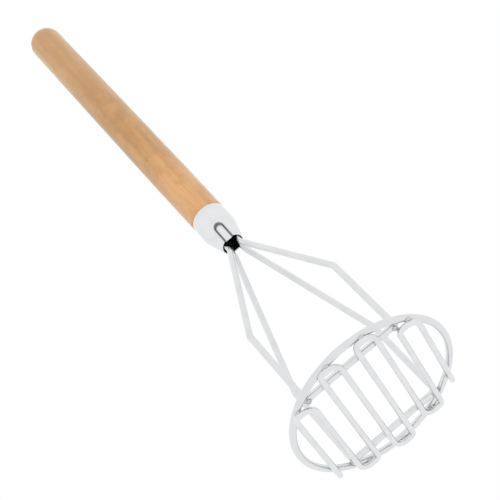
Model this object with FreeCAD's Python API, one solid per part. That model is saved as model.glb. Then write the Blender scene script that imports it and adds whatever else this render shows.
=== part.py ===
"""Round-faced hand masher: a wooden handle, a crimped metal ferrule and a welded wire head.

Millimetres, +Z up. The masher stands on its mashing face: z = 0 is the surface it rests on
and the handle's axis is the Z axis. The mashing bars run along Y, the cross wires along X.
"""
import FreeCAD, Part
import math
import os

from FreeCAD import Vector

# ---------------------------------------------------------------- driving sizes
# Mashing grid: one wire bent to and fro into parallel bars.
grid_wire_d = 4.6
bar_count = 8
bar_pitch = 15.5
sharp_corner_radius = 3.8       # centreline radius where the first, third ... bar meets a U-turn
round_corner_radius = 9.2       # and where the second, fourth ... bar meets one
outer_turn_inset = 2.8          # the first and the last U-turn stop this far inside the ring's centreline
free_end_overhang = 5.0         # the grid's two free ends reach this far past the ring's centreline

# Ring that stiffens the grid's round outline.
ring_outer_d = 140.5
ring_wire_d = 5.5

# Frame wires: each one is a leg, a cross wire over the bars, and a leg.
frame_wire_d = 5.2
cross_wire_span = 80.0          # between the centrelines of one frame wire's two legs
corner_bend_radius = 4.5
knee_bend_radius = 7.0
knee_height = 85.0
knee_spread = 89.4              # between the near and the far frame wire at the knees
pair_spacing = 6.2              # between the near and the far wire of a pair, inside the ferrule
parting_drop = 1.0              # the two wires of a pair part this far below the ferrule's mouth
parting_bend_radius = 12.0
flare_drop = 7.0                # and the pairs flare to the left and the right this far below it
flare_spacing = 10.8            # between the near and the far wire there
flare_bend_radius = 16.0
wire_reach_in_handle = 28.0     # how far the wire ends go up past the ferrule's rim

# Ferrule: a sheet-metal sleeve, cylindrical above and drawn in to a mouth below.
mouth_height = 206.0
ferrule_length = 39.5
ferrule_band_length = 16.0      # the cylindrical part, round the wood
ferrule_outer_d = 31.0
ferrule_mouth_d = 19.8
ferrule_shoulder_radius = 25.0  # rounds the band into the cone that runs to the mouth
ferrule_sheet = 1.0
crimp_width = 7.8               # pressed flutes between the two pairs of wires, front and back
crimp_height = 16.5
crimp_depth_top = 2.4
crimp_depth_mouth = 1.8

# Handle: a turned dowel with a domed end and a tenon that fills the ferrule's band.
handle_grip_d = 32.0
handle_visible_length = 348.5
handle_neck_length = 74.5       # the grip narrows to the ferrule over this length
tenon_length = 15.5
hole_spare_depth = 2.0

# Clearances.
weld_touch = 0.02               # between round wires that are welded where they touch
tenon_clearance = 0.1           # radial, tenon in ferrule
rim_gap = 0.3                   # the fine dark line between the wood's shoulder and the rim
wire_hole_clearance = 0.15      # radial, wire end in its hole in the handle
mouth_clearance = 0.15          # radial, wires inside the ferrule's mouth

# ---------------------------------------------------------------- places worked out from them
grid_z = grid_wire_d / 2
ring_radius = (ring_outer_d - ring_wire_d) / 2
ring_z = grid_wire_d + weld_touch + ring_wire_d / 2
cross_wire_z = grid_wire_d + weld_touch + frame_wire_d / 2
leg_x = cross_wire_span / 2

rim_height = mouth_height + ferrule_length
shoulder_height = rim_height + rim_gap
tip_height = shoulder_height + handle_visible_length
parting_height = mouth_height - parting_drop
flare_height = mouth_height - flare_drop
wire_end_height = rim_height + wire_reach_in_handle

# The drawn-in part of the ferrule is a cone; the shoulder is an arc tangent to the cone and the band.
band_foot = rim_height - ferrule_band_length
shoulder_centre = Vector(ferrule_outer_d / 2 - ferrule_shoulder_radius, 0, band_foot)
drawn_height = band_foot - mouth_height
mouth_reach = ferrule_mouth_d / 2 - shoulder_centre.x
mouth_bearing = math.atan2(drawn_height, mouth_reach)
cone_angle = mouth_bearing - math.acos(ferrule_shoulder_radius / math.hypot(drawn_height, mouth_reach))


def ferrule_radius(height, inset=0.0):
    """Radius of the ferrule's surface at a height, or of a surface this far inside it."""
    drop = band_foot - height
    shoulder = ferrule_shoulder_radius - inset
    if drop <= 0:
        return ferrule_outer_d / 2 - inset
    if drop <= shoulder * math.sin(cone_angle):
        return shoulder_centre.x + math.sqrt(shoulder ** 2 - drop ** 2)
    return shoulder_centre.x + (shoulder - drop * math.sin(cone_angle)) / math.cos(cone_angle)


# The four wires fill the sides of the mouth, a pair to the left and a pair to the right.
mouth_bore_radius = ferrule_radius(mouth_height, ferrule_sheet)
throat_y = pair_spacing / 2
throat_x = math.sqrt((mouth_bore_radius - mouth_clearance - frame_wire_d / 2) ** 2 - throat_y ** 2)


# ---------------------------------------------------------------- wire bending
def rounded_path(points, radii):
    """Straight runs through the points, joined by a tangent arc at each inner point."""
    edges = []
    start = points[0]
    for before, corner, after, radius in zip(points, points[1:], points[2:], radii):
        back = (before - corner).normalize()
        ahead = (after - corner).normalize()
        half_turn = (math.pi - back.getAngle(ahead)) / 2
        tangent_length = radius * math.tan(half_turn)
        arc_start = corner + back * tangent_length
        arc_end = corner + ahead * tangent_length
        to_centre = (back + ahead).normalize()
        arc_middle = corner + to_centre * (radius / math.cos(half_turn) - radius)
        edges.append(Part.makeLine(start, arc_start))
        edges.append(Part.Arc(arc_start, arc_middle, arc_end).toShape())
        start = arc_end
    edges.append(Part.makeLine(start, points[-1]))
    return Part.Wire(edges)


def round_wire(path, first, second, diameter):
    """A round wire swept along a path that sets out from first towards second."""
    section = Part.Wire(Part.makeCircle(diameter / 2, first, second - first))
    return path.makePipeShell([section], True, False)


# ---------------------------------------------------------------- mashing grid
def bar_x(index):
    return (index - (bar_count - 1) / 2) * bar_pitch


def ring_chord(x):
    """Half the length of the ring's centreline circle along Y at this x."""
    return math.sqrt(ring_radius ** 2 - x ** 2)


def make_grid_wire():
    """Parallel bars joined by U-turns that lie under the ring, with two free ends at the far side."""
    points = [Vector(bar_x(0), ring_chord(bar_x(0)) + free_end_overhang, grid_z)]
    radii = []
    for index in range(bar_count - 1):
        side = -1 if index % 2 == 0 else 1
        inset = outer_turn_inset if index in (0, bar_count - 2) else 0.0
        turn_y = side * (ring_chord(bar_x(index + 0.5)) - inset)
        for bar in (index, index + 1):
            points.append(Vector(bar_x(bar), turn_y, grid_z))
            radii.append(sharp_corner_radius if bar % 2 == 0 else round_corner_radius)
    last_x = bar_x(bar_count - 1)
    points.append(Vector(last_x, -side * (ring_chord(last_x) + free_end_overhang), grid_z))
    return round_wire(rounded_path(points, radii), points[0], points[1], grid_wire_d)


def make_ring():
    return Part.makeTorus(ring_radius, ring_wire_d / 2, Vector(0, 0, ring_z))


# ---------------------------------------------------------------- frame wires
def frame_points(side, foot_y):
    """Bend points of one frame wire, from one hidden end over the bars to the other."""
    half = []
    half.append(Vector(throat_x, side * throat_y, wire_end_height))
    half.append(Vector(throat_x, side * throat_y, parting_height))
    half.append(Vector(throat_x, side * flare_spacing / 2, flare_height))
    half.append(Vector(leg_x, side * knee_spread / 2, knee_height))
    half.append(Vector(leg_x, side * foot_y, cross_wire_z))
    other_half = [Vector(-point.x, point.y, point.z) for point in reversed(half)]
    return half + other_half


def frame_path(side, foot_y):
    bends = [parting_bend_radius, flare_bend_radius, knee_bend_radius, corner_bend_radius]
    return rounded_path(frame_points(side, foot_y), bends + bends[::-1])


def leg_foot_y():
    """How far out along Y the cross wires lie for their corners to touch the ring's inner side."""
    ring_line = Part.makeCircle(ring_radius, Vector(0, 0, ring_z))
    reach = (ring_wire_d + frame_wire_d) / 2 + weld_touch
    near, far = 0.0, ring_chord(leg_x)
    while far - near > 1e-4:
        middle = (near + far) / 2
        gap = frame_path(1, middle).distToShape(ring_line)[0]
        if gap > reach:
            near = middle
        else:
            far = middle
    return near


def make_frame_wire(side, foot_y):
    points = frame_points(side, foot_y)
    return round_wire(frame_path(side, foot_y), points[0], points[1], frame_wire_d)


# ---------------------------------------------------------------- ferrule
def sleeve_profile(inset, bottom, top):
    """Closed half section between the axis and the ferrule's surface moved inwards by inset."""
    shoulder = ferrule_shoulder_radius - inset
    low = Vector(ferrule_radius(bottom, inset), 0, bottom)
    turn, middle, high = (
        shoulder_centre + Vector(math.cos(angle), 0, -math.sin(angle)) * shoulder
        for angle in (cone_angle, cone_angle / 2, 0.0)
    )
    edges = [
        Part.makeLine(Vector(0, 0, bottom), low),
        Part.makeLine(low, turn),
        Part.Arc(turn, middle, high).toShape(),
        Part.makeLine(high, Vector(high.x, 0, top)),
        Part.makeLine(Vector(high.x, 0, top), Vector(0, 0, top)),
        Part.makeLine(Vector(0, 0, top), Vector(0, 0, bottom)),
    ]
    return Part.Face(Part.Wire(edges))


def sleeve_solid(inset, bottom, top):
    face = sleeve_profile(inset, bottom, top)
    return face.revolve(Vector(0, 0, 0), Vector(0, 0, 1), 360)


def crimp_tool(side, grow):
    """The punch that presses one flute: an arch-topped block with a sloping flat nose."""
    half_width = crimp_width / 2 + grow
    arch_centre = mouth_height + crimp_height - crimp_width / 2
    below = mouth_height - ferrule_sheet
    outside = side * ferrule_outer_d
    floor_top = ferrule_radius(mouth_height + crimp_height) - crimp_depth_top - grow
    floor_mouth = ferrule_radius(mouth_height) - crimp_depth_mouth - grow
    slope = (floor_top - floor_mouth) / crimp_height
    top = arch_centre + half_width

    arch = Part.Arc(Vector(-half_width, 0, arch_centre), Vector(0, 0, top), Vector(half_width, 0, arch_centre))
    outline = Part.Wire([
        Part.makeLine(Vector(-half_width, 0, below), Vector(-half_width, 0, arch_centre)),
        arch.toShape(),
        Part.makeLine(Vector(half_width, 0, arch_centre), Vector(half_width, 0, below)),
        Part.makeLine(Vector(half_width, 0, below), Vector(-half_width, 0, below)),
    ])
    punch = Part.Face(outline).extrude(Vector(0, outside, 0))

    nose_low = side * (floor_mouth - slope * (mouth_height - below))
    nose_high = side * (floor_mouth + slope * (top - mouth_height))
    nose = Part.makePolygon([
        Vector(-half_width, nose_low, below),
        Vector(-half_width, nose_high, top),
        Vector(-half_width, outside, top),
        Vector(-half_width, outside, below),
        Vector(-half_width, nose_low, below),
    ])
    return punch.common(Part.Face(nose).extrude(Vector(2 * half_width, 0, 0)))


def make_ferrule():
    """Outer form less the cavity; under each flute the cavity is pressed in by the same punch."""
    outer = sleeve_solid(0.0, mouth_height, rim_height)
    cavity = sleeve_solid(ferrule_sheet, mouth_height, rim_height)
    for side in (-1, 1):
        outer = outer.cut(crimp_tool(side, 0.0))
        cavity = cavity.cut(crimp_tool(side, ferrule_sheet))
    return outer.cut(cavity)


# ---------------------------------------------------------------- handle
def make_handle():
    """Turned profile with its tenon, less the four holes that take the wire ends."""
    grip_radius = handle_grip_d / 2
    neck_radius = ferrule_outer_d / 2
    tenon_radius = ferrule_outer_d / 2 - ferrule_sheet - tenon_clearance
    tenon_foot = rim_height - tenon_length
    neck_top = shoulder_height + handle_neck_length
    dome_centre = tip_height - grip_radius
    dome_half = grip_radius * math.sqrt(0.5)

    outline = [
        Vector(0, 0, tenon_foot),
        Vector(tenon_radius, 0, tenon_foot),
        Vector(tenon_radius, 0, shoulder_height),
        Vector(neck_radius, 0, shoulder_height),
        Vector(grip_radius, 0, neck_top),
        Vector(grip_radius, 0, dome_centre),
    ]
    edges = [Part.makeLine(low, high) for low, high in zip(outline, outline[1:])]
    dome_middle = Vector(dome_half, 0, dome_centre + dome_half)
    tip = Vector(0, 0, tip_height)
    edges.append(Part.Arc(outline[-1], dome_middle, tip).toShape())
    edges.append(Part.makeLine(tip, outline[0]))
    handle = Part.Face(Part.Wire(edges)).revolve(Vector(0, 0, 0), Vector(0, 0, 1), 360)

    hole_radius = frame_wire_d / 2 + wire_hole_clearance
    hole_length = wire_end_height + hole_spare_depth - tenon_foot
    for x in (-throat_x, throat_x):
        for y in (-throat_y, throat_y):
            handle = handle.cut(Part.makeCylinder(hole_radius, hole_length, Vector(x, y, tenon_foot)))
    return handle


# ---------------------------------------------------------------- build
def main():
    foot_y = leg_foot_y()
    nodes = {
        "handle": make_handle(),
        "ferrule": make_ferrule(),
        "near_frame_wire": make_frame_wire(-1, foot_y),
        "far_frame_wire": make_frame_wire(1, foot_y),
        "ring": make_ring(),
        "grid_wire": make_grid_wire(),
    }
    os.makedirs("parts", exist_ok=True)
    for name, shape in nodes.items():
        solid = shape.Solids[0] if shape.Solids else Part.Solid(shape)
        solid.exportStep("parts/" + name + ".step")
        box = solid.BoundBox
        print(name, "valid", solid.isValid(), "volume", round(solid.Volume, 1),
              "x", round(box.XMin, 2), round(box.XMax, 2), "y", round(box.YMin, 2), round(box.YMax, 2),
              "z", round(box.ZMin, 2), round(box.ZMax, 2))
    print("cross wires at y =", round(foot_y, 3), "wires in the mouth at x =", round(throat_x, 3))


main()
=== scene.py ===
"""Round-faced wire potato masher: wooden handle, crimped ferrule, welded and plated wire head.

Metres, +Z up the handle. The masher stands on its mashing face, the bars run along Y.
"""
import math

import bmesh
import bpy
from mathutils import Matrix, Vector, noise


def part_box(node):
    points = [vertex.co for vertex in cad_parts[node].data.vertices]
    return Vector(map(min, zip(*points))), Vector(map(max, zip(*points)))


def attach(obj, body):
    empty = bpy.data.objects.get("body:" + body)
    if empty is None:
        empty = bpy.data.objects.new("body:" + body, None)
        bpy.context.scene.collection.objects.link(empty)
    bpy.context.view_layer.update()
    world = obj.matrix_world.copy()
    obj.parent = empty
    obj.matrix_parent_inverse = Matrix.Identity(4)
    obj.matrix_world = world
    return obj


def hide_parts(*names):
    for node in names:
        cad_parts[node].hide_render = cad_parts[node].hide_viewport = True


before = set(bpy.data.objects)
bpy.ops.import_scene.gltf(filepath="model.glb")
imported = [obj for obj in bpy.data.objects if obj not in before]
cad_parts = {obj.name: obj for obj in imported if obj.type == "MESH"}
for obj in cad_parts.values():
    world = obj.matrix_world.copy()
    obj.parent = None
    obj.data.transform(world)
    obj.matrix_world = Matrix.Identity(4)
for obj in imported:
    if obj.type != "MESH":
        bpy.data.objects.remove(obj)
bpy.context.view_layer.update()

# ------------------------------------------------------------------ Where the masher is seen from
# It is held up before a white ground and seen from in front and from below the mashing face,
# with the handle running away to the upper left. The lens is long, so the handle narrows a little.
mm = 0.001
eye = Vector((-58.4, -778.5, -508.6)) * mm
looked_at = Vector((6.89, 0.0, 189.5)) * mm
camera_roll = math.radians(-43.18)

camera_data = bpy.data.cameras.new("camera")
camera_data.sensor_width = 36.0
camera_data.lens = 93.6
camera_data.clip_start = 0.02
camera = bpy.data.objects.new("camera", camera_data)
looking = (looked_at - eye).to_track_quat("-Z", "Y").to_matrix().to_4x4()
camera.matrix_world = Matrix.Translation(eye) @ looking @ Matrix.Rotation(camera_roll, 4, "Z")
bpy.context.scene.collection.objects.link(camera)
bpy.context.scene.camera = camera
bpy.context.scene.view_settings.view_transform = "Standard"


# ------------------------------------------------------------------ Studio
# A white ground that the plated metal shows too, a soft fill and three large lamps.
# The floor is seen from above only, because the masher is looked at from below.
def add_node(tree, kind, **settings):
    node = tree.nodes.new(kind)
    for name, value in settings.items():
        if name.startswith("in_"):
            node.inputs[name[3:].replace("_", " ")].default_value = value
        else:
            setattr(node, name, value)
    return node


def calculate(tree, operation, first, second=None, clamp=False):
    """One step of arithmetic on sockets or plain numbers."""
    node = add_node(tree, "ShaderNodeMath", operation=operation, use_clamp=clamp)
    for socket, value in zip(node.inputs, (first, second)):
        if value is None:
            continue
        if isinstance(value, (int, float)):
            socket.default_value = value
        else:
            tree.links.new(value, socket)
    return node.outputs[0]


def fade(tree, value, start, end, low=0.0, high=1.0):
    """Smooth change from low to high while value goes from start to end."""
    node = add_node(tree, "ShaderNodeMapRange", interpolation_type="SMOOTHSTEP")
    tree.links.new(value, node.inputs["Value"])
    for name, number in (("From Min", start), ("From Max", end), ("To Min", low), ("To Max", high)):
        node.inputs[name].default_value = number
    return node.outputs["Result"]


world = bpy.data.worlds.new("plain_studio")
world.use_nodes = True
bpy.context.scene.world = world
sky = world.node_tree
sky.nodes.clear()
ray = add_node(sky, "ShaderNodeLightPath")
fill_strength, ground_strength = 0.72, 1.0
soft_fill = add_node(sky, "ShaderNodeBackground", in_Strength=fill_strength)
white_ground = add_node(sky, "ShaderNodeBackground", in_Strength=ground_strength)
for background in (soft_fill, white_ground):
    background.inputs["Color"].default_value = (1.0, 1.0, 1.0, 1.0)
shows_ground = calculate(sky, "MAXIMUM", ray.outputs["Is Camera Ray"], ray.outputs["Is Glossy Ray"])
shows_ground = calculate(sky, "MAXIMUM", shows_ground, ray.outputs["Is Transmission Ray"])
fill_or_ground = add_node(sky, "ShaderNodeMixShader")
sky.links.new(shows_ground, fill_or_ground.inputs[0])
sky.links.new(soft_fill.outputs[0], fill_or_ground.inputs[1])
sky.links.new(white_ground.outputs[0], fill_or_ground.inputs[2])
sky.links.new(fill_or_ground.outputs[0], add_node(sky, "ShaderNodeOutputWorld").inputs["Surface"])

middle = Vector((0.0, 0.0, 0.3))
for name, place, size, power in (
    ("lamp_left", Vector((-0.9, -0.9, 0.1)), 0.8, 7.0),
    ("lamp_right", Vector((1.1, -0.7, 0.7)), 0.8, 5.0),
    ("lamp_above", Vector((0.1, 0.3, 1.9)), 1.0, 6.0),
):
    lamp_data = bpy.data.lights.new(name, "AREA")
    lamp_data.size = size
    lamp_data.energy = power
    lamp = bpy.data.objects.new(name, lamp_data)
    facing = (middle - place).to_track_quat("-Z", "Y").to_matrix().to_4x4()
    lamp.matrix_world = Matrix.Translation(place) @ facing
    lamp.visible_glossy = False
    bpy.context.scene.collection.objects.link(lamp)

floor_material = bpy.data.materials.new("pale_floor")
floor_material.use_nodes = True
tree = floor_material.node_tree
tree.nodes.clear()
matt = add_node(tree, "ShaderNodeBsdfDiffuse", in_Color=(0.9, 0.9, 0.9, 1.0))
clear = add_node(tree, "ShaderNodeBsdfTransparent")
one_sided = add_node(tree, "ShaderNodeMixShader")
tree.links.new(add_node(tree, "ShaderNodeNewGeometry").outputs["Backfacing"], one_sided.inputs[0])
tree.links.new(matt.outputs[0], one_sided.inputs[1])
tree.links.new(clear.outputs[0], one_sided.inputs[2])
tree.links.new(one_sided.outputs[0], add_node(tree, "ShaderNodeOutputMaterial").inputs["Surface"])
floor_reach, floor_z = 6.0, -0.5 * mm
ground = bmesh.new()
bmesh.ops.create_grid(ground, x_segments=1, y_segments=1, size=floor_reach,
                      matrix=Matrix.Translation((0, 0, floor_z)))
floor_mesh = bpy.data.meshes.new("floor")
ground.to_mesh(floor_mesh)
ground.free()
floor = bpy.data.objects.new("floor", floor_mesh)
floor.visible_glossy = False
floor_mesh.materials.append(floor_material)
bpy.context.scene.collection.objects.link(floor)


# ------------------------------------------------------------------ Chrome plating
# Bright nickel-chrome over steel wire and sheet. It is a little cloudy from washing up. Round each weld it
# is duller
# and greyer: partly where the plating runs thin over the burnt metal, partly painted shade where the wires
# meet.
# Inside the ferrule and along its flute creases the same greying is painted shade.
plating = bpy.data.node_groups.new("chrome_plating", "ShaderNodeTree")
for name, kind, value in (
    ("Tint", "NodeSocketColor", (0.78, 0.79, 0.80, 1.0)),
    ("Polish", "NodeSocketFloat", 0.12),
    ("Dulling_and_shade", "NodeSocketFloat", 0.0),
):
    plating.interface.new_socket(name, in_out="INPUT", socket_type=kind).default_value = value
plating.interface.new_socket("Colour", in_out="OUTPUT", socket_type="NodeSocketColor")
plating.interface.new_socket("Roughness", in_out="OUTPUT", socket_type="NodeSocketFloat")
plating.interface.new_socket("Height", in_out="OUTPUT", socket_type="NodeSocketFloat")
plate_in = add_node(plating, "NodeGroupInput")
plate_out = add_node(plating, "NodeGroupOutput")
where = add_node(plating, "ShaderNodeTexCoord").outputs["Object"]
clouds = add_node(plating, "ShaderNodeTexNoise", in_Scale=90.0, in_Detail=3.0)
ripple = add_node(plating, "ShaderNodeTexNoise", in_Scale=700.0, in_Detail=2.0)
for texture in (clouds, ripple):
    plating.links.new(where, texture.inputs["Vector"])
cloudy = fade(plating, clouds.outputs["Fac"], 0.35, 0.75)
# The darkening input greys the tint: partly dull plating round welds, partly painted shade at wire
# contacts and inside the ferrule.
dull_and_shade_darkening = calculate(plating, "MULTIPLY", plate_in.outputs["Dulling_and_shade"], 0.75)
grey = calculate(plating, "SUBTRACT", 1.0, dull_and_shade_darkening)
grey = calculate(plating, "SUBTRACT", grey, calculate(plating, "MULTIPLY", cloudy, 0.06))
tinted = add_node(plating, "ShaderNodeVectorMath", operation="SCALE")
plating.links.new(plate_in.outputs["Tint"], tinted.inputs[0])
plating.links.new(grey, tinted.inputs["Scale"])
plating.links.new(tinted.outputs[0], plate_out.inputs["Colour"])
rough = calculate(plating, "ADD", plate_in.outputs["Polish"], calculate(plating, "MULTIPLY", cloudy, 0.05))
rough = calculate(plating, "ADD", rough, calculate(plating, "MULTIPLY", plate_in.outputs["Dulling_and_shade"], 0.3))
plating.links.new(rough, plate_out.inputs["Roughness"])
plating.links.new(ripple.outputs["Fac"], plate_out.inputs["Height"])


def chrome(name, tint, polish):
    """A plated metal; a point attribute greys and roughens it where the plating is thin round welds and
    where shade is painted.
    """
    material = bpy.data.materials.new(name)
    material.use_nodes = True
    tree = material.node_tree
    metal = tree.nodes["Principled BSDF"]
    metal.inputs["Metallic"].default_value = 1.0
    surface = add_node(tree, "ShaderNodeGroup", node_tree=plating)
    surface.inputs["Tint"].default_value = tint
    surface.inputs["Polish"].default_value = polish
    dull_and_shaded = add_node(tree, "ShaderNodeAttribute", attribute_name="dulling_and_painted_shade")
    tree.links.new(dull_and_shaded.outputs["Fac"], surface.inputs["Dulling_and_shade"])
    bump = add_node(tree, "ShaderNodeBump", in_Strength=0.15, in_Distance=0.0002)
    tree.links.new(surface.outputs["Colour"], metal.inputs["Base Color"])
    tree.links.new(surface.outputs["Roughness"], metal.inputs["Roughness"])
    tree.links.new(surface.outputs["Height"], bump.inputs["Height"])
    tree.links.new(bump.outputs["Normal"], metal.inputs["Normal"])
    return material


wire_chrome = chrome("plated_wire", (0.76, 0.77, 0.78, 1.0), 0.08)
face_chrome = chrome("scoured_plated_wire", (0.78, 0.79, 0.80, 1.0), 0.14)
sheet_chrome = chrome("plated_sheet", (0.80, 0.81, 0.82, 1.0), 0.10)


# ------------------------------------------------------------------ Grid wire
# The mashing face: one steel wire bent to and fro into parallel bars. Each U-turn has a sharp corner
# and a round one and lies under the ring. The two cut ends are a little past the ring.
grid_low, grid_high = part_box("grid_wire")
grid_wire_d = grid_high.z - grid_low.z
bar_count = 8
bar_pitch = 15.5 * mm
sharp_corner_radius = 3.8 * mm
round_corner_radius = 9.2 * mm
outer_turn_inset = 2.8 * mm
free_end_overhang = 5.0 * mm
ring_low, ring_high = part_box("ring")
ring_wire_d = ring_high.z - ring_low.z
ring_radius = (ring_high.x - ring_low.x - ring_wire_d) / 2
wire_sides = 32
run_step = 2.0 * mm
bend_step = 7.5                    # degrees
cut_end_rounding = 0.1             # share of the wire's diameter


def end_ring(geometry):
    """The new vertices and the edges between them that an extrude or a spin leaves."""
    points = {item for item in geometry if isinstance(item, bmesh.types.BMVert)}
    edges = [item for item in geometry
             if isinstance(item, bmesh.types.BMEdge) and set(item.verts) <= points]
    return list(points), edges


def bent_wire(name, corners, bend_radii, diameter):
    """Draws a round wire straight from corner to corner and bends it round each one."""
    wire = bmesh.new()
    heading = (corners[1] - corners[0]).normalized()
    upright = heading.to_track_quat("Z", "Y").to_matrix().to_4x4()
    place = corners[0].copy()
    bmesh.ops.create_circle(wire, cap_ends=True, segments=wire_sides, radius=diameter / 2,
                            matrix=Matrix.Translation(place) @ upright)
    rim = list(wire.edges)
    cut_edges = list(rim)
    for index, corner in enumerate(corners[1:]):
        last = index == len(corners) - 2
        if last:
            run_end = corner
        else:
            next_heading = (corners[index + 2] - corner).normalized()
            turn = heading.angle(next_heading)
            setback = bend_radii[index] * math.tan(turn / 2)
            run_end = corner - heading * setback
        run = run_end - place
        steps = max(1, round(run.length / run_step))
        for _ in range(steps):
            drawn = bmesh.ops.extrude_edge_only(wire, edges=rim)
            points, rim = end_ring(drawn["geom"])
            bmesh.ops.translate(wire, verts=points, vec=run / steps)
        place = run_end
        if last:
            break
        axis = heading.cross(next_heading).normalized()
        centre = place + axis.cross(heading) * bend_radii[index]
        bent = bmesh.ops.spin(wire, geom=points + rim, cent=centre, axis=axis, angle=turn,
                              steps=max(4, round(math.degrees(turn) / bend_step)), use_duplicate=False)
        points, rim = end_ring(bent["geom_last"])
        heading = next_heading
        place = corner + heading * setback
    bmesh.ops.contextual_create(wire, geom=rim)
    cut_edges += rim
    bmesh.ops.bevel(wire, geom=cut_edges, offset=diameter * cut_end_rounding, segments=3, profile=0.5,
                    affect="EDGES", material=-1)
    bmesh.ops.recalc_face_normals(wire, faces=wire.faces)
    for face in wire.faces:
        face.smooth = True
    mesh = bpy.data.meshes.new(name)
    wire.to_mesh(mesh)
    wire.free()
    piece = bpy.data.objects.new(name, mesh)
    bpy.context.scene.collection.objects.link(piece)
    return piece


def bar_x(index):
    return (index - (bar_count - 1) / 2) * bar_pitch


def ring_chord(x):
    return math.sqrt(ring_radius ** 2 - x ** 2)


grid_z = grid_wire_d / 2
first_x, last_x = bar_x(0), bar_x(bar_count - 1)
grid_corners = [Vector((first_x, ring_chord(first_x) + free_end_overhang, grid_z))]
corner_radii = []
ring_welds = [Vector((first_x, ring_chord(first_x), grid_wire_d))]
for index in range(bar_count - 1):
    side = -1 if index % 2 == 0 else 1
    turn_x = bar_x(index + 0.5)
    inset = outer_turn_inset if index in (0, bar_count - 2) else 0.0
    turn_y = side * (ring_chord(turn_x) - inset)
    for bar in (index, index + 1):
        grid_corners.append(Vector((bar_x(bar), turn_y, grid_z)))
        corner_radii.append(sharp_corner_radius if bar % 2 == 0 else round_corner_radius)
    ring_crosses_x = math.copysign(math.sqrt(ring_radius ** 2 - turn_y ** 2), turn_x)
    ring_welds.append(Vector((ring_crosses_x, turn_y, grid_wire_d)))
grid_corners.append(Vector((last_x, ring_chord(last_x) + free_end_overhang, grid_z)))
ring_welds.append(Vector((last_x, ring_chord(last_x), grid_wire_d)))
grid_wire = bent_wire("mashing_grid", grid_corners, corner_radii, grid_wire_d)
grid_wire.data.materials.append(face_chrome)
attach(grid_wire, "root")
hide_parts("grid_wire")


# ------------------------------------------------------------------ Ring
# A hoop of thicker wire on top of the grid's turns. It is bent round and butt-welded, and the
# plating hides the joint.
ring_z = (ring_low.z + ring_high.z) / 2
hoop = bmesh.new()
upright = Matrix.Translation((ring_radius, 0, ring_z)) @ Matrix.Rotation(math.radians(90), 4, "X")
bmesh.ops.create_circle(hoop, segments=wire_sides, radius=ring_wire_d / 2, matrix=upright)
bmesh.ops.spin(hoop, geom=list(hoop.verts) + list(hoop.edges), cent=(0, 0, ring_z), axis=(0, 0, 1),
               angle=math.tau, steps=240, use_merge=True, use_duplicate=False)
bmesh.ops.remove_doubles(hoop, verts=hoop.verts, dist=0.01 * mm)
bmesh.ops.recalc_face_normals(hoop, faces=hoop.faces)
for face in hoop.faces:
    face.smooth = True
ring_mesh = bpy.data.meshes.new("head_ring")
hoop.to_mesh(ring_mesh)
hoop.free()
ring = bpy.data.objects.new("head_ring", ring_mesh)
bpy.context.scene.collection.objects.link(ring)
ring_mesh.materials.append(wire_chrome)
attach(ring, "root")
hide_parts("ring")


# ------------------------------------------------------------------ Frame wires
# Two bent wires, front and back. Each comes out of the ferrule, flares to a knee, runs down as a
# leg inside the ring, crosses the bars and goes back up the same way.
frame_wire_d = 5.2 * mm
leg_x = 40.0 * mm
knee_y, knee_z = 44.7 * mm, 85.0 * mm
throat_x, throat_y = 5.267 * mm, 3.1 * mm
flare_y = 5.4 * mm
flare_z, parting_z, wire_end_z = 199.0 * mm, 205.0 * mm, 273.5 * mm
bend_radii = [12.0 * mm, 16.0 * mm, 7.0 * mm, 4.5 * mm, 4.5 * mm, 7.0 * mm, 16.0 * mm, 12.0 * mm]
frame_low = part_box("far_frame_wire")[0]
cross_y = 48.693 * mm
cross_z = frame_low.z + frame_wire_d / 2
frame_wires = []
for side, name, node in (
    (-1, "front_frame_wire", "near_frame_wire"),
    (1, "back_frame_wire", "far_frame_wire"),
):
    half = [
        Vector((throat_x, side * throat_y, wire_end_z)),
        Vector((throat_x, side * throat_y, parting_z)),
        Vector((throat_x, side * flare_y, flare_z)),
        Vector((leg_x, side * knee_y, knee_z)),
        Vector((leg_x, side * cross_y, cross_z)),
    ]
    other_half = [Vector((-point.x, point.y, point.z)) for point in reversed(half)]
    wire = bent_wire(name, half + other_half, bend_radii, frame_wire_d)
    wire.data.materials.append(wire_chrome)
    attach(wire, "root")
    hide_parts(node)
    frame_wires.append(wire)


# ------------------------------------------------------------------ Welds
# Every place where two wires cross is spot-welded: the metal squeezes out as a small collar. The plating
# round it is greyer, partly dull plating and partly painted shade where the wires meet.
ring_bead, cross_bead, foot_bead = (2.5, 1.6), (2.3, 1.4), (2.2, 2.6)      # half width and height, mm
lump_scale, lump_shift, lump_height = 600, 3.7, 0.45
dull_and_shade_most, dull_and_shade_reach, dull_and_shade_edge = 0.5, 3.4 * mm, 2.0 * mm
weld_spots = [(spot, *ring_bead) for spot in ring_welds]
for side in (-1, 1):
    for index in range(1, bar_count - 1):
        weld_spots.append((Vector((bar_x(index), side * cross_y, grid_wire_d)), *cross_bead))
    for end in (-1, 1):
        foot = Vector((end * (leg_x - 1.0 * mm), side * (cross_y - 0.6 * mm), cross_z))
        outward = Vector((foot.x, foot.y, 0)).normalized()
        touch = foot + outward * (frame_wire_d / 2)
        weld_spots.append((Vector((touch.x, touch.y, (cross_z + ring_z) / 2)), *foot_bead))
welds = bmesh.new()
for number, (spot, half_width, half_height) in enumerate(weld_spots):
    bead = bmesh.ops.create_icosphere(welds, subdivisions=3, radius=mm)
    bmesh.ops.scale(welds, verts=bead["verts"], vec=(half_width, half_width, half_height))
    for vertex in bead["verts"]:
        lump = noise.noise(vertex.co * lump_scale + Vector((number * lump_shift, 0, 0)))
        vertex.co += vertex.co.normalized() * lump * lump_height * mm
    bmesh.ops.translate(welds, verts=bead["verts"], vec=spot)
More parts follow.
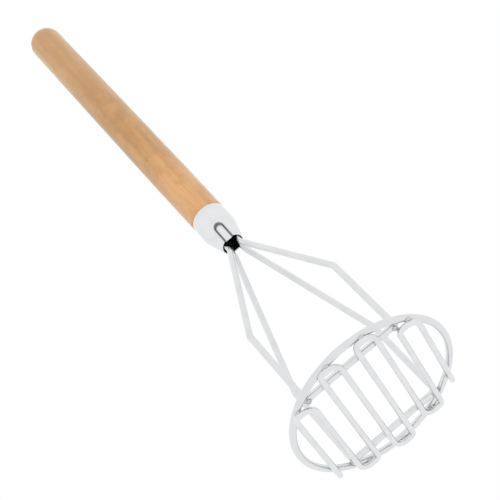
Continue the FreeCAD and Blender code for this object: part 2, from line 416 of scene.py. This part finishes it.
bmesh.ops.recalc_face_normals(welds, faces=welds.faces)
for face in welds.faces:
    face.smooth = True
weld_mesh = bpy.data.meshes.new("weld_beads")
welds.to_mesh(weld_mesh)
welds.free()
weld_beads = bpy.data.objects.new("weld_beads", weld_mesh)
bpy.context.scene.collection.objects.link(weld_beads)
weld_mesh.materials.append(wire_chrome)
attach(weld_beads, "root")
# Darker, rougher plating round each weld: partly dull plating, partly painted shade where the wires meet.
for piece in (grid_wire, ring, weld_beads, *frame_wires):
    dull_and_shaded = piece.data.attributes.new("dulling_and_painted_shade", "FLOAT", "POINT")
    for vertex, value in zip(piece.data.vertices, dull_and_shaded.data):
        nearest = min((vertex.co - spot).length for spot, *_ in weld_spots)
        value.value = dull_and_shade_most * max(0.0, min(1.0, (dull_and_shade_reach - nearest) / dull_and_shade_edge))


# ------------------------------------------------------------------ Ferrule
# A pressed sheet-steel sleeve. It is straight where it holds the wood, draws in to a mouth round
# the four wires, and is crimped front and back by an arch-topped flute between the wire pairs.
ferrule_low, ferrule_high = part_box("ferrule")
ferrule_radius = ferrule_high.x
mouth_z, rim_z = ferrule_low.z, ferrule_high.z
band_length = 16.0 * mm
band_foot_z = rim_z - band_length
mouth_radius = 9.9 * mm
shoulder_arc = 25.0 * mm
sheet = 1.0 * mm
sleeve_wall = sheet * 0.9
mouth_reach = mouth_radius - ferrule_radius + shoulder_arc
cone_angle = math.atan2(band_foot_z - mouth_z, mouth_reach) - math.acos(
    shoulder_arc / math.hypot(band_foot_z - mouth_z, mouth_reach))
flute_half_width = 3.9 * mm
flute_height = 16.5 * mm
flute_depth_top, flute_depth_mouth = 2.4 * mm, 1.8 * mm
flute_top_z = mouth_z + flute_height
arch_z = flute_top_z - flute_half_width
floor_mouth_y = mouth_radius - flute_depth_mouth


def sleeve_radius(z):
    """Outside radius of the sleeve before it is crimped."""
    drop = max(0.0, band_foot_z - z)
    if drop <= shoulder_arc * math.sin(cone_angle):
        return ferrule_radius - shoulder_arc + math.sqrt(shoulder_arc ** 2 - drop ** 2)
    cone = (shoulder_arc - drop * math.sin(cone_angle)) / math.cos(cone_angle)
    return ferrule_radius - shoulder_arc + cone


floor_top_y = sleeve_radius(flute_top_z) - flute_depth_top
sleeve = bmesh.new()
rows, sectors = 90, 216
profile = [sleeve.verts.new((sleeve_radius(z), 0, z))
           for z in (mouth_z + (rim_z - mouth_z) * row / rows for row in range(rows + 1))]
lines = [sleeve.edges.new(pair) for pair in zip(profile, profile[1:])]
bmesh.ops.spin(sleeve, geom=profile + lines, cent=(0, 0, 0), axis=(0, 0, 1), angle=math.tau, steps=sectors,
               use_merge=True, use_duplicate=False)
bmesh.ops.remove_doubles(sleeve, verts=sleeve.verts, dist=0.01 * mm)
for vertex in sleeve.verts:
    x, y, z = vertex.co
    across = abs(x) if z < arch_z else math.hypot(x, z - arch_z)
    press = max(0.0, min(1.0, (flute_half_width + 0.35 * mm - across) / (1.5 * mm)))
    press = press * press * (3 - 2 * press)
    floor_y = floor_mouth_y + (floor_top_y - floor_mouth_y) * (z - mouth_z) / (flute_top_z - mouth_z)
    if abs(y) > floor_y:
        vertex.co.y = math.copysign(abs(y) + (floor_y - abs(y)) * press, y)
bmesh.ops.recalc_face_normals(sleeve, faces=sleeve.faces)
bmesh.ops.solidify(sleeve, geom=list(sleeve.faces), thickness=sleeve_wall)
bmesh.ops.recalc_face_normals(sleeve, faces=sleeve.faces)
for face in sleeve.faces:
    face.smooth = True
sleeve_mesh = bpy.data.meshes.new("crimped_ferrule")
sleeve.to_mesh(sleeve_mesh)
# Painted shade: inside the sleeve it is strongest near the middle, between the wire pairs, and outside it
# runs along the flute's creases.
dull_and_shaded = sleeve_mesh.attributes.new("dulling_and_painted_shade", "FLOAT", "POINT")
for vertex, value in zip(sleeve.verts, dull_and_shaded.data):
    x, y, z = vertex.co
    inside = vertex.normal.x * x + vertex.normal.y * y < 0
    across = abs(x) if z < arch_z else math.hypot(x, z - arch_z)
    crease = max(0.0, 1.0 - abs(across - flute_half_width + 0.3 * mm) / (1.3 * mm))
    shaded = 0.15 + 0.85 * max(0.0, min(1.0, (4.2 * mm - abs(x)) / (1.5 * mm)))
    value.value = shaded if inside else min(1.0, crease * 1.5)
sleeve.free()
ferrule = bpy.data.objects.new("crimped_ferrule", sleeve_mesh)
bpy.context.scene.collection.objects.link(ferrule)
sleeve_mesh.materials.append(sheet_chrome)
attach(ferrule, "root")
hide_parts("ferrule")


# ------------------------------------------------------------------ Handle
# A hardwood dowel turned down to a neck at the ferrule and rounded at the far end, sanded and
# lacquered. Its tenon is inside the ferrule's band.
handle_low, handle_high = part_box("handle")
grip_radius = handle_high.x
neck_radius = ferrule_radius
tenon_clearance, rim_gap, neck_length = 0.1 * mm, 0.3 * mm, 74.5 * mm
tenon_radius = ferrule_radius - sheet - tenon_clearance
shoulder_z = rim_z + rim_gap
neck_top_z = shoulder_z + neck_length
dome_z = handle_high.z - grip_radius
edge_round = 0.5 * mm

outline = [(0.0, handle_low.z), (tenon_radius, handle_low.z), (tenon_radius, shoulder_z)]
outline += [(neck_radius - edge_round, shoulder_z),
            (neck_radius - edge_round * 0.3, shoulder_z + edge_round * 0.3),
            (neck_radius, shoulder_z + edge_round)]
neck_rows, grip_rows, dome_rows = 12, 30, 16
for row in range(1, neck_rows + 1):
    share = row / neck_rows
    outline.append((neck_radius + (grip_radius - neck_radius) * share,
                    shoulder_z + (neck_top_z - shoulder_z) * share))
for row in range(1, grip_rows + 1):
    outline.append((grip_radius, neck_top_z + (dome_z - neck_top_z) * row / grip_rows))
for row in range(1, dome_rows + 1):
    turn = math.radians(90) * row / dome_rows
    outline.append((grip_radius * math.cos(turn), dome_z + grip_radius * math.sin(turn)))
dowel = bmesh.new()
profile = [dowel.verts.new((radius, 0, z)) for radius, z in outline]
lines = [dowel.edges.new(pair) for pair in zip(profile, profile[1:])]
bmesh.ops.spin(dowel, geom=profile + lines, cent=(0, 0, 0), axis=(0, 0, 1), angle=math.tau, steps=128,
               use_merge=True, use_duplicate=False)
bmesh.ops.remove_doubles(dowel, verts=dowel.verts, dist=0.001 * mm)
bmesh.ops.recalc_face_normals(dowel, faces=dowel.faces)
for face in dowel.faces:
    face.smooth = face.calc_center_median().z > shoulder_z
dowel_mesh = bpy.data.meshes.new("wooden_handle")
dowel.to_mesh(dowel_mesh)
dowel.free()
handle = bpy.data.objects.new("wooden_handle", dowel_mesh)
bpy.context.scene.collection.objects.link(handle)

wood = bpy.data.materials.new("lacquered_wood")
wood.use_nodes = True
tree = wood.node_tree
timber = tree.nodes["Principled BSDF"]
timber.inputs["Coat Weight"].default_value = 0.35
timber.inputs["Coat Roughness"].default_value = 0.28
timber.inputs["Sheen Weight"].default_value = 0.42
timber.inputs["Sheen Roughness"].default_value = 0.4
timber.inputs["Sheen Tint"].default_value = (0.92, 1.0, 0.80, 1.0)
where = add_node(tree, "ShaderNodeTexCoord").outputs["Object"]


def wood_noise(location, scale, detail, roughness=0.5):
    """Noise drawn out along the handle, as the fibres of the wood are."""
    placed = add_node(tree, "ShaderNodeMapping")
    placed.inputs["Location"].default_value = location
    placed.inputs["Scale"].default_value = scale
    tree.links.new(where, placed.inputs["Vector"])
    texture = add_node(tree, "ShaderNodeTexNoise", in_Scale=1.0, in_Detail=detail,
                       in_Roughness=roughness)
    tree.links.new(placed.outputs[0], texture.inputs["Vector"])
    return texture.outputs["Fac"]


def blend_colours(first, second, amount):
    node = add_node(tree, "ShaderNodeMix", data_type="RGBA")
    sockets = node.inputs["Factor"], node.inputs[6], node.inputs[7]
    for socket, value in zip(sockets, (amount, first, second)):
        if isinstance(value, (tuple, float)):
            socket.default_value = value
        else:
            tree.links.new(value, socket)
    return node.outputs[2]


streaks = wood_noise((0.3, 0.0, 0.0), (110.0, 110.0, 9.0), 3.0, 0.55)
fibres = wood_noise((0.0, 0.7, 0.0), (900.0, 900.0, 30.0), 2.0)
flecks = wood_noise((0.0, 0.0, 0.4), (1500.0, 1500.0, 220.0), 1.0)
mottle = wood_noise((0.9, 0.2, 0.0), (55.0, 55.0, 38.0), 4.0, 0.6)
along = add_node(tree, "ShaderNodeSeparateXYZ")
tree.links.new(where, along.inputs[0])
height = along.outputs["Z"]
up_the_handle = fade(tree, height, 0.28, 0.37)
pale = blend_colours((0.70, 0.375, 0.150, 1.0), (0.56, 0.290, 0.098, 1.0), up_the_handle)
deep = blend_colours((0.55, 0.265, 0.090, 1.0), (0.43, 0.200, 0.060, 1.0), up_the_handle)
fibre_brown, fleck_brown = (0.33, 0.150, 0.045, 1.0), (0.28, 0.125, 0.040, 1.0)
# The near-black colour is painted shadow for the wood just under the ferrule's rim.
pale_end, rim_painted_shadow = (0.62, 0.365, 0.155, 1.0), (0.02, 0.012, 0.006, 1.0)
colour = blend_colours(pale, deep, fade(tree, streaks, 0.35, 0.65))
colour = blend_colours(colour, deep, fade(tree, mottle, 0.43, 0.64, 0.0, 0.85))
colour = blend_colours(colour, fibre_brown, fade(tree, fibres, 0.55, 0.8, 0.0, 0.35))
colour = blend_colours(colour, fleck_brown, fade(tree, flecks, 0.66, 0.78, 0.0, 0.4))
colour = blend_colours(colour, pale_end, fade(tree, height, 0.38, 0.52, 0.0, 0.3))
# Painted shadow: the wood turns near black in the last millimetre below the ferrule's rim.
colour = blend_colours(rim_painted_shadow, colour, fade(tree, height, rim_z - 1.0 * mm, rim_z))
tree.links.new(colour, timber.inputs["Base Color"])
tree.links.new(fade(tree, streaks, 0.3, 0.7, 0.36, 0.48), timber.inputs["Roughness"])
grain = add_node(tree, "ShaderNodeBump", in_Strength=0.2, in_Distance=0.0003)
tree.links.new(fibres, grain.inputs["Height"])
tree.links.new(grain.outputs["Normal"], timber.inputs["Normal"])
dowel_mesh.materials.append(wood)
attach(handle, "root")
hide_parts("handle")
